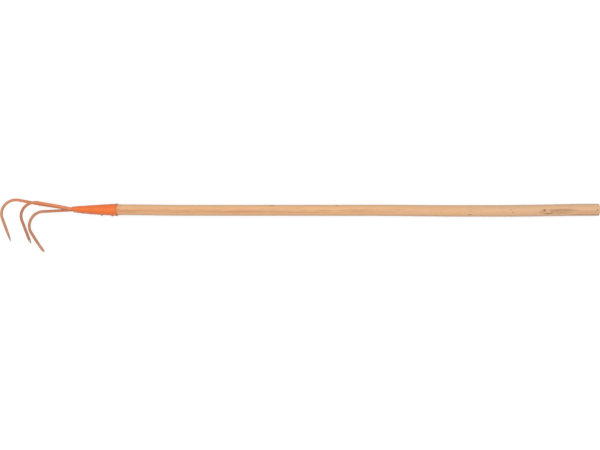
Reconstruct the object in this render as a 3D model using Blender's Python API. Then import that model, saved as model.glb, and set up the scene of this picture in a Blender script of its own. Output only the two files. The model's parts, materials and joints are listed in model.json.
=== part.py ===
"""Three-tine claw cultivator on a long wooden handle, laid on its right side.

Each piece is drawn along the tool itself: +X runs to the butt of the handle, +Y to the
user's right and +Z up, away from the tine points, with X = 0 at the rim of the socket.
A parent empty then lays the whole tool on the floor.
"""

import math
from collections import namedtuple

import bmesh
import bpy
from mathutils import Matrix, Vector

# Handle
HANDLE_LENGTH = 1.219
NECK_DIAMETER = 0.0254
WAIST_DIAMETER = 0.0258
WAIST_FROM_RIM = 0.360
BUTT_DIAMETER = 0.0286
BUTT_ROUNDING = 0.0015
SWELL_POWER = 1.3
TENON_RUN_OUT = 0.012
TENON_TO_SHANKS = 0.003

# Socket, a cone rolled from sheet and pressed flat round the shanks of the tines
SOCKET_LENGTH = 0.104
SOCKET_RIM_DIAMETER = 0.0288
SOCKET_WALL = 0.0011
SOCKET_TAPER = math.radians(3.95)
SOCKET_CLOSING_LENGTH = 0.056
NECK_RISE = 0.0010
SEAM_GAP = 0.0006

# Tines, bent from round bar
ROD_DIAMETER = 0.00635
ROD_SEAT = 0.014
SPREAD_BEND_FROM_MOUTH = 0.003
SPREAD_BEND_RADIUS = 0.058
SIDE_FAN = math.radians(11.5)
SIDE_TWIST = math.radians(1.0)
CENTRE_RISE = math.radians(10.5)
CENTRE_SHANK = 0.1180
CENTRE_HOOK_RADIUS = 0.0318
CENTRE_BEND = math.radians(123.4)
CENTRE_LEG = 0.0614
CENTRE_POINT = 0.032
CENTRE_NOSE = 0.010
CENTRE_SHOULDER = 0.70
CENTRE_TIP = 0.16
LEFT_RISE = math.radians(9.1)
LEFT_SHANK = 0.0610
LEFT_HOOK_RADIUS = 0.0326
LEFT_BEND = math.radians(121.9)
LEFT_LEG = 0.0597
LEFT_POINT = 0.012
LEFT_NOSE = 0.0065
LEFT_SHOULDER = 0.76
LEFT_TIP = 0.16
RIGHT_RISE = math.radians(-0.1)
RIGHT_SHANK = 0.0625
RIGHT_HOOK_RADIUS = 0.0318
RIGHT_BEND = math.radians(124.4)
RIGHT_LEG = 0.0582
RIGHT_POINT = 0.030
RIGHT_NOSE = 0.0065
RIGHT_SHOULDER = 0.90
RIGHT_TIP = 0.45
POINT_FULLNESS = 0.55
NOSE_MIDDLE = 0.4
NOSE_FULLNESS = 0.5

# Nails through the socket into the wood
NAIL_HEAD_DIAMETER = 0.0046
NAIL_HEAD_HEIGHT = 0.0015
NAIL_LIP_HEIGHT = 0.00045
NAIL_SHANK_DIAMETER = 0.0024
NAIL_LENGTH = 0.0095
NAIL_POINT = 0.0025
REAR_NAIL_FROM_RIM = 0.011
FRONT_NAIL_FROM_RIM = 0.036
NAIL_FROM_SEAM = math.radians(20)

# Welds
TACK_FROM_MOUTH = 0.023
TACK_LENGTH = 0.0046
TACK_WIDTH = 0.0036
TACK_HEIGHT = 0.0011
TACK_SLOPE_END = math.radians(72)
PLUG_FROM_MOUTH = 0.003
PLUG_FROM_SHANK_END = 0.001

# Gaps between neighbours
FIT = 0.0003
SEAT_GAP = 0.0002

# How the tool lies: rolled past its right side, so that the points lift off the floor
ROLL = math.radians(14)

# Fineness of the round shapes
HANDLE_SIDES = 32
SWELL_STEPS = 14
SHEET_SIDES = 40
STRAIGHT_STEPS = 6
CLOSING_STEPS = 12
ROD_BEVEL_RESOLUTION = 6
SPREAD_STEPS = 4
HOOK_STEPS = 24
NAIL_SIDES = 16
DOME_STEPS = 5
SHARP_EDGE = math.radians(40)

WOOD = (0.72, 0.45, 0.25)
ORANGE_PAINT = (0.90, 0.19, 0.05)
BARE_STEEL = (0.30, 0.28, 0.27)

NECK_HALF_HEIGHT = ROD_DIAMETER / 2 + FIT + SOCKET_WALL
ROD_PITCH = ROD_DIAMETER + FIT
NECK_HALF_WIDTH = ROD_PITCH + NECK_HALF_HEIGHT
HANDLE_SEAT = SOCKET_LENGTH - ROD_SEAT - TENON_TO_SHANKS
VISIBLE_HANDLE = HANDLE_LENGTH - HANDLE_SEAT
WALL_AND_FIT = SOCKET_WALL + FIT

Tine = namedtuple("Tine", "name lateral fan rise shank hook bend twist leg point nose shoulder tip")


def clear_scene():
    for obj in list(bpy.data.objects):
        bpy.data.objects.remove(obj, do_unlink=True)


def surface(name, colour, roughness, metallic=0.0):
    material = bpy.data.materials.new(name)
    material.use_nodes = True
    shader = material.node_tree.nodes["Principled BSDF"]
    shader.inputs["Base Color"].default_value = (*colour, 1)
    shader.inputs["Roughness"].default_value = roughness
    shader.inputs["Metallic"].default_value = metallic
    return material


def add_object(name, data, material, parent):
    obj = bpy.data.objects.new(name, data)
    bpy.context.scene.collection.objects.link(obj)
    data.materials.append(material)
    obj.parent = parent
    return obj


def mesh_from(name, bm):
    bmesh.ops.recalc_face_normals(bm, faces=bm.faces)
    mesh = bpy.data.meshes.new(name)
    bm.to_mesh(mesh)
    bm.free()
    mesh.shade_smooth()
    mesh.set_sharp_from_angle(angle=SHARP_EDGE)
    return mesh


def loft(name, rings):
    """Closed skin over matching rings of points, with a flat face at each end."""
    bm = bmesh.new()
    loops = [[bm.verts.new(point) for point in ring] for ring in rings]
    for near, far in zip(loops, loops[1:]):
        for i, corner in enumerate(near):
            before = i - 1
            bm.faces.new((near[before], corner, far[i], far[before]))
    bm.faces.new(loops[0])
    bm.faces.new(loops[-1])
    return mesh_from(name, bm)


def turned(name, profile, sides):
    """Solid turned about Z from (radius, height) points that begin and end on the axis."""
    bm = bmesh.new()
    line = [bm.verts.new((radius, 0, height)) for radius, height in profile]
    edges = [bm.edges.new(pair) for pair in zip(line, line[1:])]
    bmesh.ops.spin(
        bm, geom=line + edges, axis=(0, 0, 1), cent=(0, 0, 0),
        steps=sides, angle=math.tau, use_merge=True,
    )
    bmesh.ops.remove_doubles(bm, verts=bm.verts, dist=1e-6)
    return mesh_from(name, bm)


def cut(obj, cutter):
    cutter.hide_render = True
    cutter.display_type = "WIRE"
    boolean = obj.modifiers.new(cutter.name, "BOOLEAN")
    boolean.operation = "DIFFERENCE"
    boolean.solver = "EXACT"
    boolean.object = cutter


def mix(start, end, share):
    return start + (end - start) * share


class Section:
    """Outline of the socket at a depth in from the rim: two half rounds with flats between."""

    def __init__(self, depth):
        rim = SOCKET_RIM_DIAMETER / 2
        cone = rim - depth * math.tan(SOCKET_TAPER)
        from_mouth = max(0.0, SOCKET_LENGTH - depth)
        closing = max(0.0, 1 - from_mouth / SOCKET_CLOSING_LENGTH)
        pressed = 1 - math.sqrt(1 - closing**2)
        top = mix(cone, NECK_HALF_HEIGHT + NECK_RISE, pressed)
        bottom = mix(cone, NECK_HALF_HEIGHT - NECK_RISE, pressed)
        self.x = -depth
        self.radius = (top + bottom) / 2
        self.flat = mix(rim, NECK_HALF_WIDTH, depth / SOCKET_LENGTH) - self.radius
        self.centre = (top - bottom) / 2

    def point(self, angle, inset=0.0):
        across = math.copysign(self.flat, math.cos(angle))
        radius = self.radius - inset
        z = self.centre + radius * math.sin(angle)
        return Vector((self.x, across + radius * math.cos(angle), z))

    def bottom(self, y, inset=0.0):
        return Vector((self.x, y, self.centre - self.radius + inset))

    def reach(self, angle):
        """Distance from the centre to the outside, in a straight line at the angle."""
        sideways = self.flat * math.sin(angle)
        return self.flat * math.cos(angle) + math.sqrt(self.radius**2 - sideways**2)


def half_step_angles(sides):
    """Angles once round that miss the middle of the flats."""
    return [math.tau * (i + 0.5) / sides - math.pi / 2 for i in range(sides)]


def socket_depths():
    """Stations from the rim to the mouth, closer together where the neck closes."""
    straight = SOCKET_LENGTH - SOCKET_CLOSING_LENGTH
    depths = [straight * i / STRAIGHT_STEPS for i in range(STRAIGHT_STEPS)]
    for i in range(CLOSING_STEPS + 1):
        share = math.sin(math.pi / 2 * i / CLOSING_STEPS)
        depths.append(straight + SOCKET_CLOSING_LENGTH * share)
    return depths


def sheet_ring(section):
    """Outline of the bent sheet: from the seam round the outside, and back along the inside."""
    edge = SEAM_GAP / 2
    ring = []
    for inset in (0.0, SOCKET_WALL):
        side = [section.bottom(edge, inset)]
        side += [section.point(angle, inset) for angle in half_step_angles(SHEET_SIDES)]
        side.append(section.bottom(-edge, inset))
        ring += side if inset == 0.0 else side[::-1]
    return ring


def make_socket(parent, material):
    rings = [sheet_ring(Section(depth)) for depth in socket_depths()]
    return add_object("socket", loft("socket", rings), material, parent)


def handle_radius(x):
    neck = NECK_DIAMETER / 2
    waist = WAIST_DIAMETER / 2
    if x < WAIST_FROM_RIM:
        return mix(neck, waist, x / WAIST_FROM_RIM)
    share = (x - WAIST_FROM_RIM) / (VISIBLE_HANDLE - WAIST_FROM_RIM)
    return mix(waist, BUTT_DIAMETER / 2, share**SWELL_POWER)


def round_ring(x, radius):
    angles = half_step_angles(HANDLE_SIDES)
    return [Vector((x, radius * math.cos(a), radius * math.sin(a))) for a in angles]


def tenon_rings():
    """The wood inside the socket, driven in until it takes the socket's shape."""
    rings = []
    steps = 8
    for i in range(steps + 1):
        section = Section(mix(HANDLE_SEAT, 0.0, i / steps))
        angles = half_step_angles(HANDLE_SIDES)
        rings.append([section.point(angle, WALL_AND_FIT) for angle in angles])
    return rings


def make_handle(parent, material):
    rings = tenon_rings()
    round_from = VISIBLE_HANDLE - BUTT_ROUNDING
    stations = [TENON_RUN_OUT, WAIST_FROM_RIM / 2, WAIST_FROM_RIM]
    for i in range(1, SWELL_STEPS + 1):
        stations.append(mix(WAIST_FROM_RIM, round_from, i / SWELL_STEPS))
    rings += [round_ring(x, handle_radius(x)) for x in stations]
    for i in range(1, DOME_STEPS + 1):
        angle = math.pi / 2 * i / DOME_STEPS
        x = round_from + BUTT_ROUNDING * math.sin(angle)
        drop = BUTT_ROUNDING * (1 - math.cos(angle))
        rings.append(round_ring(x, handle_radius(round_from) - drop))
    return add_object("handle", loft("handle", rings), material, parent)


def arc(start, heading, inward, radius, angle, steps):
    """Points round a bend that turns from the heading towards the inward direction."""
    points = []
    for i in range(1, steps + 1):
        a = angle * i / steps
        out = heading * math.sin(a) + inward * (1 - math.cos(a))
        points.append(start + radius * out)
    return points, heading * math.cos(angle) + inward * math.sin(angle)


def tine_route(tine):
    """Centre line of a tine from its seat in the socket to the end of its hook."""
    mouth = Vector((-SOCKET_LENGTH, tine.lateral, NECK_RISE))
    ahead = Vector((-1, 0, 0))
    bend_start = mouth + ahead * SPREAD_BEND_FROM_MOUTH
    heading = Vector((
        -math.cos(tine.rise) * math.cos(tine.fan),
        math.cos(tine.rise) * math.sin(tine.fan),
        math.sin(tine.rise),
    ))
    points = [mouth - ahead * ROD_SEAT, bend_start]
    inward = (heading - ahead * heading.dot(ahead)).normalized()
    turn = ahead.angle(heading)
    spread, heading = arc(bend_start, ahead, inward, SPREAD_BEND_RADIUS, turn, SPREAD_STEPS)
    points += spread
    points.append(points[-1] + heading * tine.shank)
    upright = Vector((0, 0, 1))
    upright = (upright - heading * heading.z).normalized()
    side = heading.cross(upright)
    inward = -(upright * math.cos(tine.twist) + side * math.sin(tine.twist))
    hook, heading = arc(points[-1], heading, inward, tine.hook, tine.bend, HOOK_STEPS)
    points += hook
    return points, heading


def make_tine(parent, material, tine):
    """Round bar along its route, drawn down over the leg to a short nose."""
    points, heading = tine_route(tine)
    knee = points[-1]
    shares = [1.0] * len(points)
    ends = (
        (tine.point, 1.0),
        ((tine.nose + tine.point) / 2, mix(tine.shoulder, 1.0, POINT_FULLNESS)),
        (tine.nose, tine.shoulder),
        (tine.nose * NOSE_MIDDLE, mix(tine.tip, tine.shoulder, NOSE_FULLNESS)),
        (0.0, tine.tip),
    )
    for from_tip, share in ends:
        points.append(knee + heading * (tine.leg - from_tip))
        shares.append(share)
    curve = bpy.data.curves.new(tine.name, "CURVE")
    curve.dimensions = "3D"
    curve.bevel_depth = ROD_DIAMETER / 2
    curve.bevel_resolution = ROD_BEVEL_RESOLUTION
    curve.use_fill_caps = True
    spline = curve.splines.new("POLY")
    spline.points.add(len(points) - 1)
    spline.use_smooth = True
    for target, position, share in zip(spline.points, points, shares):
        target.co = (*position, 1)
        target.radius = share
    return add_object(tine.name, curve, material, parent)


def make_tines(parent, material):
    centre = Tine(
        name="tine_centre", lateral=0.0, fan=0.0, rise=CENTRE_RISE, shank=CENTRE_SHANK,
        hook=CENTRE_HOOK_RADIUS, bend=CENTRE_BEND, twist=0.0, leg=CENTRE_LEG,
        point=CENTRE_POINT, nose=CENTRE_NOSE, shoulder=CENTRE_SHOULDER, tip=CENTRE_TIP,
    )
    left = Tine(
        name="tine_left", lateral=-ROD_PITCH, fan=-SIDE_FAN, rise=LEFT_RISE, shank=LEFT_SHANK,
        hook=LEFT_HOOK_RADIUS, bend=LEFT_BEND, twist=SIDE_TWIST, leg=LEFT_LEG,
        point=LEFT_POINT, nose=LEFT_NOSE, shoulder=LEFT_SHOULDER, tip=LEFT_TIP,
    )
    right = Tine(
        name="tine_right", lateral=ROD_PITCH, fan=SIDE_FAN, rise=RIGHT_RISE, shank=RIGHT_SHANK,
        hook=RIGHT_HOOK_RADIUS, bend=RIGHT_BEND, twist=-SIDE_TWIST, leg=RIGHT_LEG,
        point=RIGHT_POINT, nose=RIGHT_NOSE, shoulder=RIGHT_SHOULDER, tip=RIGHT_TIP,
    )
    return [make_tine(parent, material, tine) for tine in (centre, left, right)]


def nail_profile():
    shank = NAIL_SHANK_DIAMETER / 2
    head = NAIL_HEAD_DIAMETER / 2
    profile = [(0, -NAIL_LENGTH), (shank, NAIL_POINT - NAIL_LENGTH), (shank, 0), (head, 0)]
    for i in range(DOME_STEPS + 1):
        angle = math.pi / 2 * i / DOME_STEPS
        rise = (NAIL_HEAD_HEIGHT - NAIL_LIP_HEIGHT) * math.sin(angle)
        profile.append((head * math.cos(angle), NAIL_LIP_HEIGHT + rise))
    return profile


def make_nail(parent, material, name, depth, sleeved):
    """Nail square to the tool through the socket's wall, with its hole in each sleeved piece."""
    section = Section(depth)
    angle = NAIL_FROM_SEAM - math.pi / 2
    out = Vector((0, math.cos(angle), math.sin(angle)))
    seat = Vector((section.x, 0, section.centre)) + out * (section.reach(angle) + SEAT_GAP)
    place = Matrix.Translation(seat) @ out.to_track_quat("Z", "Y").to_matrix().to_4x4()
    nail = add_object(name, turned(name, nail_profile(), NAIL_SIDES), material, parent)
    nail.matrix_local = place
    hole_radius = NAIL_SHANK_DIAMETER / 2 + FIT
    bottom = -NAIL_LENGTH - FIT
    top = NAIL_HEAD_HEIGHT
    hole = [(0, bottom), (hole_radius, bottom), (hole_radius, top), (0, top)]
    drill = add_object(name + "_hole", turned(name + "_hole", hole, NAIL_SIDES), material, parent)
    drill.matrix_local = place
    for piece in sleeved:
        cut(piece, drill)
    return nail


def make_seam_weld(parent, material):
    """Small domed tack across the seam on the underside."""
    depth = SOCKET_LENGTH - TACK_FROM_MOUTH
    front = Section(depth + TACK_LENGTH / 2).bottom(0)
    rear = Section(depth - TACK_LENGTH / 2).bottom(0)
    along = (rear - front).normalized()
    down = Vector((along.z, 0, -along.x))
    rings = []
    for i in range(DOME_STEPS + 1):
        angle = TACK_SLOPE_END * i / DOME_STEPS
        rings.append([
            (
                TACK_LENGTH / 2 * math.cos(angle) * math.cos(turn),
                TACK_WIDTH / 2 * math.cos(angle) * math.sin(turn),
                TACK_HEIGHT * math.sin(angle),
            )
            for turn in (math.tau * k / NAIL_SIDES for k in range(NAIL_SIDES))
        ])
    tack = add_object("seam_weld", loft("seam_weld", rings), material, parent)
    across = down.cross(along)
    turn = Matrix((along, across, down)).transposed().to_4x4()
    tack.matrix_local = Matrix.Translation((front + rear) / 2 + down * SEAT_GAP) @ turn
    return tack


def make_neck_weld(parent, material):
    """Weld metal in the pocket under the shanks, just inside the mouth of the socket."""
    ceiling = NECK_RISE - ROD_DIAMETER / 2 - FIT
    deep_end = SOCKET_LENGTH - ROD_SEAT + PLUG_FROM_SHANK_END
    mouth_end = SOCKET_LENGTH - PLUG_FROM_MOUTH
    steps = 6
    arc_steps = 13
    rings = []
    for i in range(steps + 1):
        section = Section(mix(mouth_end, deep_end, i / steps))
        edge = math.asin((section.centre - ceiling) / (section.radius - WALL_AND_FIT))
        angles = [mix(edge - math.pi, -edge, k / arc_steps) for k in range(arc_steps + 1)]
        rings.append([section.point(angle, WALL_AND_FIT) for angle in angles])
    return add_object("neck_weld", loft("neck_weld", rings), material, parent)


def corners(pieces):
    """Every corner of the finished pieces, where they now stand."""
    bpy.context.view_layer.update()
    graph = bpy.context.evaluated_depsgraph_get()
    found = []
    for piece in pieces:
        evaluated = piece.evaluated_get(graph)
        mesh = evaluated.to_mesh()
        found += [evaluated.matrix_world @ vertex.co for vertex in mesh.vertices]
        evaluated.to_mesh_clear()
    return found


def lay_down(lie, pieces):
    """Lays the tool on its side: butt and right tine on the floor, box centred on the origin."""
    turn_to_side = Matrix.Rotation(-math.pi / 2 - ROLL, 4, "X")
    lie.matrix_world = turn_to_side
    points = corners(pieces)
    butt = min((p for p in points if p.x > VISIBLE_HANDLE - 2 * BUTT_ROUNDING), key=lambda p: p.z)
    slope = max((p.z - butt.z) / (p.x - butt.x) for p in points if p.x < 0)
    lie.matrix_world = Matrix.Rotation(math.atan(slope), 4, "Y") @ turn_to_side
    points = corners(pieces)
    middle_x = (min(p.x for p in points) + max(p.x for p in points)) / 2
    middle_y = (min(p.y for p in points) + max(p.y for p in points)) / 2
    floor = min(p.z for p in points)
    lie.matrix_world = Matrix.Translation((-middle_x, -middle_y, -floor)) @ lie.matrix_world


def main():
    clear_scene()
    lie = bpy.data.objects.new("lie", None)
    bpy.context.scene.collection.objects.link(lie)
    handle = make_handle(lie, surface("ash_wood", WOOD, 0.55))
    socket = make_socket(lie, surface("socket_paint", ORANGE_PAINT, 0.4))
    pieces = [handle, socket]
    pieces += make_tines(lie, surface("tine_paint", ORANGE_PAINT, 0.42))
    nail_steel = surface("nail_steel", BARE_STEEL, 0.5, 1.0)
    sleeved = (socket, handle)
    pieces.append(make_nail(lie, nail_steel, "nail_rear", REAR_NAIL_FROM_RIM, sleeved))
    pieces.append(make_nail(lie, nail_steel, "nail_front", FRONT_NAIL_FROM_RIM, sleeved))
    weld_paint = surface("weld_paint", ORANGE_PAINT, 0.5)
    pieces.append(make_seam_weld(lie, weld_paint))
    pieces.append(make_neck_weld(lie, weld_paint))
    lay_down(lie, pieces)


main()
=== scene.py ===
"""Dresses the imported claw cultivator: fine skins, finishes, a pale studio and the camera.

Run as a script. Each piece is shaped along the tool itself, where +X runs to the butt of
the handle, +Y to the user's right and +Z up, away from the points, with X = 0 at the rim
of the socket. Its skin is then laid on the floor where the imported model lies.
"""

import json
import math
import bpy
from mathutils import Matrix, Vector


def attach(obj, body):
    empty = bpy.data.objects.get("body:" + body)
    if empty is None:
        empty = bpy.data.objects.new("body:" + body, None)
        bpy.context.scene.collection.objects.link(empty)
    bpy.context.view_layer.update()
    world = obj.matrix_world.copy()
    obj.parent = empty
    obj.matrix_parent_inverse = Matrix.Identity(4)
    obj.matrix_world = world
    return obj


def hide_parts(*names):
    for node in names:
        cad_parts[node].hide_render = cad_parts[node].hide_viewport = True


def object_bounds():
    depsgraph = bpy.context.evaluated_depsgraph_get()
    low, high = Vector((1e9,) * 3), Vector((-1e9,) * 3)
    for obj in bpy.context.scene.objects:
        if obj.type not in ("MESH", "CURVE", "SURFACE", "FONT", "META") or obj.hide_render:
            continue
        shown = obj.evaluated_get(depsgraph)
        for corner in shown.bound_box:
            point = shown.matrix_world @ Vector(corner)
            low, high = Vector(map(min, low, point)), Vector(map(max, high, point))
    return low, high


bl_info = {
    "name": "Claw Cultivator",
    "version": (1, 0, 0),
    "blender": (4, 5, 0),
    "location": "3D View > Sidebar > Cultivator",
    "description": "Builds the skins, finishes and studio of a three-tine claw cultivator",
    "category": "Add Mesh",
}

import bpy
from bpy.props import FloatProperty, FloatVectorProperty, PointerProperty
from bpy.types import Operator, Panel, PropertyGroup
from mathutils import Matrix, Vector, noise

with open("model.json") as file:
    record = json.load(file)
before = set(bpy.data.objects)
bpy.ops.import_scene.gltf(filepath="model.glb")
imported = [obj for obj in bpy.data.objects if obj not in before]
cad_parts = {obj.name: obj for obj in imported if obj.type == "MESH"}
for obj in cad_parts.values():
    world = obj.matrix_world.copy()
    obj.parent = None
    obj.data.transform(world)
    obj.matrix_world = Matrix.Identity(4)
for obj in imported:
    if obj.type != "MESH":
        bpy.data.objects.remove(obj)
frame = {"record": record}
cad_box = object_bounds()

BUTT = frame["record"]["mounts"][0]

# Wear where the paint is dulled but whole; from there to 1 it is rubbed away.
DULLED = 0.2

WHITE = (1.0, 1.0, 1.0, 1.0)


def length(name, default, description):
    return FloatProperty(
        name=name, description=description, default=default, min=0.0, unit="LENGTH", precision=5
    )


def offset(name, default, description):
    return FloatProperty(
        name=name, description=description, default=default, unit="LENGTH", precision=5
    )


def angle(name, degrees, description):
    return FloatProperty(
        name=name, description=description, default=math.radians(degrees), subtype="ANGLE"
    )


def share(name, default, description):
    return FloatProperty(
        name=name, description=description, default=default, min=0.0, max=1.0, subtype="FACTOR"
    )


def colour(name, default, description):
    return FloatVectorProperty(
        name=name, description=description, default=default, min=0.0, max=1.0, subtype="COLOR"
    )


class HandleSizes(PropertyGroup):
    visible: length("Visible length", 1.132, "From the rim of the socket to the butt")
    tenon: length("Tenon", 0.087, "Length of the wood inside the socket")
    neck: length("Neck", 0.0254, "Diameter just behind the socket")
    waist: length("Waist", 0.0258, "Diameter where the swell begins")
    waist_place: length("Waist place", 0.360, "From the rim to where the swell begins")
    butt: length("Butt", 0.0286, "Diameter at the butt")
    rounding: length("Rounding", 0.0015, "Radius of the rounded edge of the butt")
    bow: length("Bow", 0.0026, "How far the wood has bowed out of line at most")


class SocketSizes(PropertyGroup):
    length: length("Length", 0.104, "From the rim to the mouth")
    rim: length("Rim", 0.0288, "Outside diameter at the rim")
    wall: length("Wall", 0.0011, "Thickness of the sheet")
    taper: angle("Taper", 3.95, "Slope of the cone's side")
    closing: length("Closing length", 0.056, "Length over which the neck closes")
    neck_rise: length("Neck rise", 0.0010, "How far the shanks lie above the axis")
    seam: length("Seam", 0.0006, "Width of the open seam")
    edge: length("Edge", 0.0003, "Rounding of the sheet's edges")
    flare: length("Flare", 0.0003, "How far the cut edge of the rim turns out")
    ear: length("Ear", 0.0016, "How much farther the rim reaches at the sides of the tool")


class TineSizes(PropertyGroup):
    bar: length("Bar", 0.00635, "Diameter of the round bar")
    coat: length("Coat", 0.00014, "Thickness of the paint outside the socket")
    seat: length("Seat", 0.014, "Length of shank inside the socket")
    straight: length("Straight", 0.001, "From the mouth of the socket to the first bend")
    spread: length("Spread radius", 0.030, "Radius of the bend outside the socket")
    fan: angle("Fan", 10.9, "How far the side tines fan out")
    twist: angle("Twist", 0.9, "How far the side hooks lean")


def bar_sizes(
    rise, shank, bow, bow_at, hook, turn, leg, curl, point, nose, shoulder, tip, lean, bare, dull
):
    """Sizes of one tine beyond the first bend, with that tine's own defaults."""
    return {
        "rise": angle("Rise", rise, "How far the shank lifts"),
        "shank": length("Shank", shank, "Length from the first bend to the hook"),
        "bow": offset("Bow", bow, "How far the shank is bowed up, or down where negative"),
        "bow_at": share("Bow at", bow_at, "Where along the shank the bow is widest"),
        "hook": length("Hook", hook, "Radius of the hook"),
        "turn": angle("Turn", turn, "How far the hook turns over"),
        "leg": length("Leg", leg, "Length from the hook to the tip"),
        "curl": angle("Curl", curl, "How far the leg curls in over its length"),
        "point": length("Point", point, "Drawn length of the point"),
        "nose": length("Nose", nose, "Length of the last, blunter part of the point"),
        "shoulder": share("Shoulder", shoulder, "Thickness of the point behind its nose"),
        "tip": share("Tip", tip, "Thickness of the very end"),
        "lean": share("Lean", lean, "How far the point is drawn to the inside of the hook"),
        "bare": length("Bare", bare, "Length rubbed bare of paint from the tip"),
        "dull": length("Dull", dull, "Length of dulled paint from the tip"),
    }


class CentreTine(PropertyGroup):
    __annotations__ = bar_sizes(
        rise=10.13, shank=0.1254, bow=-0.0010, bow_at=0.56, hook=0.0318, turn=122.96,
        leg=0.0614, curl=0.0, point=0.032, nose=0.010, shoulder=0.70, tip=0.16, lean=0.0,
        bare=0.025, dull=0.19,
    )


class LeftTine(PropertyGroup):
    __annotations__ = bar_sizes(
        rise=8.44, shank=0.0707, bow=0.0005, bow_at=0.38, hook=0.0326, turn=121.14,
        leg=0.0593, curl=1.3, point=0.012, nose=0.0065, shoulder=0.76, tip=0.16, lean=0.2,
        bare=0.016, dull=0.17,
    )


class RightTine(PropertyGroup):
    __annotations__ = bar_sizes(
        rise=-0.09, shank=0.0704, bow=0.0, bow_at=0.5, hook=0.0318, turn=124.42,
        leg=0.0597, curl=2.2, point=0.030, nose=0.0065, shoulder=0.90, tip=0.45, lean=0.8,
        bare=0.007, dull=0.27,
    )


class FixingSizes(PropertyGroup):
    head: length("Nail head", 0.0046, "Diameter of a nail head")
    dome: length("Nail dome", 0.0015, "Height of a nail head")
    nail: length("Nail length", 0.0095, "From under the head to the point")
    shank: length("Nail shank", 0.0024, "Diameter of a nail")
    rear: length("Rear nail", 0.011, "From the rim to the rear nail")
    front: length("Front nail", 0.036, "From the rim to the front nail")
    turn: angle("Nail turn", 20.0, "From the seam round to the nails")
    tack_place: length("Tack place", 0.023, "From the mouth to the tack")
    tack_length: length("Tack length", 0.0046, "Along the seam")
    tack_width: length("Tack width", 0.0036, "Across the seam")
    tack_height: length("Tack height", 0.0011, "How far the tack stands out")


class Finishes(PropertyGroup):
    wood_light: colour("Light wood", (0.90, 0.518, 0.255), "Paler wood of the early growth")
    wood_dark: colour("Dark wood", (0.68, 0.32, 0.155), "Redder wood of the late growth")
    wood_grey: colour("Handled wood", (0.78, 0.495, 0.297), "Wood greyed a little towards the grip")
    # Also paints the shade on the lower edge by the butt.
    wood_red: colour("Red veins", (0.61, 0.265, 0.11), "Resin veins and warm patches")
    wood_mark: colour("Wood marks", (0.32, 0.15, 0.065), "Knots and mineral streaks")
    socket_paint: colour("Socket paint", (0.98, 0.195, 0.032), "Fresh enamel on the socket")
    # Besides paint dulled by wear, this colour paints the shade line just inside the socket's rim.
    socket_dulled_and_shaded: colour("Dulled socket", (0.73, 0.205, 0.065), "The same, dulled by the rim")
    tine_paint: colour("Tine paint", (0.88, 0.27, 0.10), "Thinner enamel on the shanks")
    tine_dulled: colour("Dulled tines", (0.71, 0.31, 0.168), "The same, dulled by soil below")
    # Painted shade: a darker copy of the dulled tine colour, which shades the whole left tine.
    tine_shaded_dulled: colour("Grimed tine", (0.57, 0.215, 0.108), "The same on the left tine, with more soil")
    nail_paint: colour("Nail paint", (0.50, 0.185, 0.09), "Thin, dulled enamel on the nail heads")
    weld_paint: colour("Weld paint", (0.55, 0.14, 0.05), "Enamel scorched over the welds")
    undercoat: colour("Undercoat", (0.20, 0.075, 0.045), "Where the enamel is rubbed thin")
    cut_edge: colour("Cut edge", (0.20, 0.12, 0.09), "Rusty edge of the sheet")
    steel: colour("Steel", (0.55, 0.42, 0.34), "Bare, dull steel")
    dust: colour("Dust", (0.40, 0.45, 0.50), "Sheen of a thin film of dust")
    floor: colour("Floor", (0.32, 0.32, 0.32), "Light that the studio floor gives back")


class StudioSettings(PropertyGroup):
    lamp: FloatProperty(name="Lamp", description="Power of the soft lamp", default=60.0, unit="POWER")
    lamp_length: length("Lamp length", 3.0, "Size of the soft lamp along the tool")
    lamp_width: length("Lamp width", 2.6, "Size of the soft lamp across the tool")
    lamp_height: length("Lamp height", 3.3, "From the floor to the lamp")
    lamp_place: length("Lamp place", 0.25, "From the middle of the floor, away from the tips")
    sky: share("Sky", 0.5, "Brightness of the light from all round")
    floor_reach: length("Floor reach", 6.0, "From the middle of the floor to its edges")
    camera_height: length("Camera height", 2.6, "From the handle's axis to the camera")
    camera_place: length("Camera place", 0.430, "From the rim along the handle")
    camera_offset: length("Camera offset", 0.03584, "Sideways from the handle's axis")
    lens: FloatProperty(name="Lens", description="Focal length", default=66.38, unit="CAMERA")


class CultivatorSettings(PropertyGroup):
    handle: PointerProperty(type=HandleSizes)
    socket: PointerProperty(type=SocketSizes)
    tines: PointerProperty(type=TineSizes)
    tine_centre: PointerProperty(type=CentreTine)
    tine_left: PointerProperty(type=LeftTine)
    tine_right: PointerProperty(type=RightTine)
    fixings: PointerProperty(type=FixingSizes)
    finishes: PointerProperty(type=Finishes)
    studio: PointerProperty(type=StudioSettings)
    roll: angle("Roll", 14.0, "How far the tool is rolled past its right side")
    fit: length("Fit", 0.0003, "Gap between neighbouring pieces")
    seat_gap: length("Seat gap", 0.0002, "Gap under a nail head or a tack")


def settings():
    return bpy.context.scene.cultivator


def butt_heading():
    """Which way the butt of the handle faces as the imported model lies."""
    return Vector(BUTT["axis"]).normalized()


def lying_place():
    """From the tool's own axes to the floor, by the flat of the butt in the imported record."""
    along = butt_heading()
    slope = Matrix.Rotation(math.atan2(-along.z, along.x), 4, "Y")
    roll = Matrix.Rotation(-math.pi / 2 - settings().roll, 4, "X")
    rim = Vector(BUTT["pos_m"]) - along * settings().handle.visible
    return Matrix.Translation(rim) @ slope @ roll


def mix(start, end, portion):
    return start + (end - start) * portion


def ease(value, low, high):
    """Rises smoothly from 0 at low to 1 at high."""
    portion = min(1.0, max(0.0, (value - low) / (high - low)))
    return portion * portion * (3 - 2 * portion)


def half_step_angles(sides):
    """Angles once round that miss the middle of the flats."""
    return [math.tau * (i + 0.5) / sides - math.pi / 2 for i in range(sides)]


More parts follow.
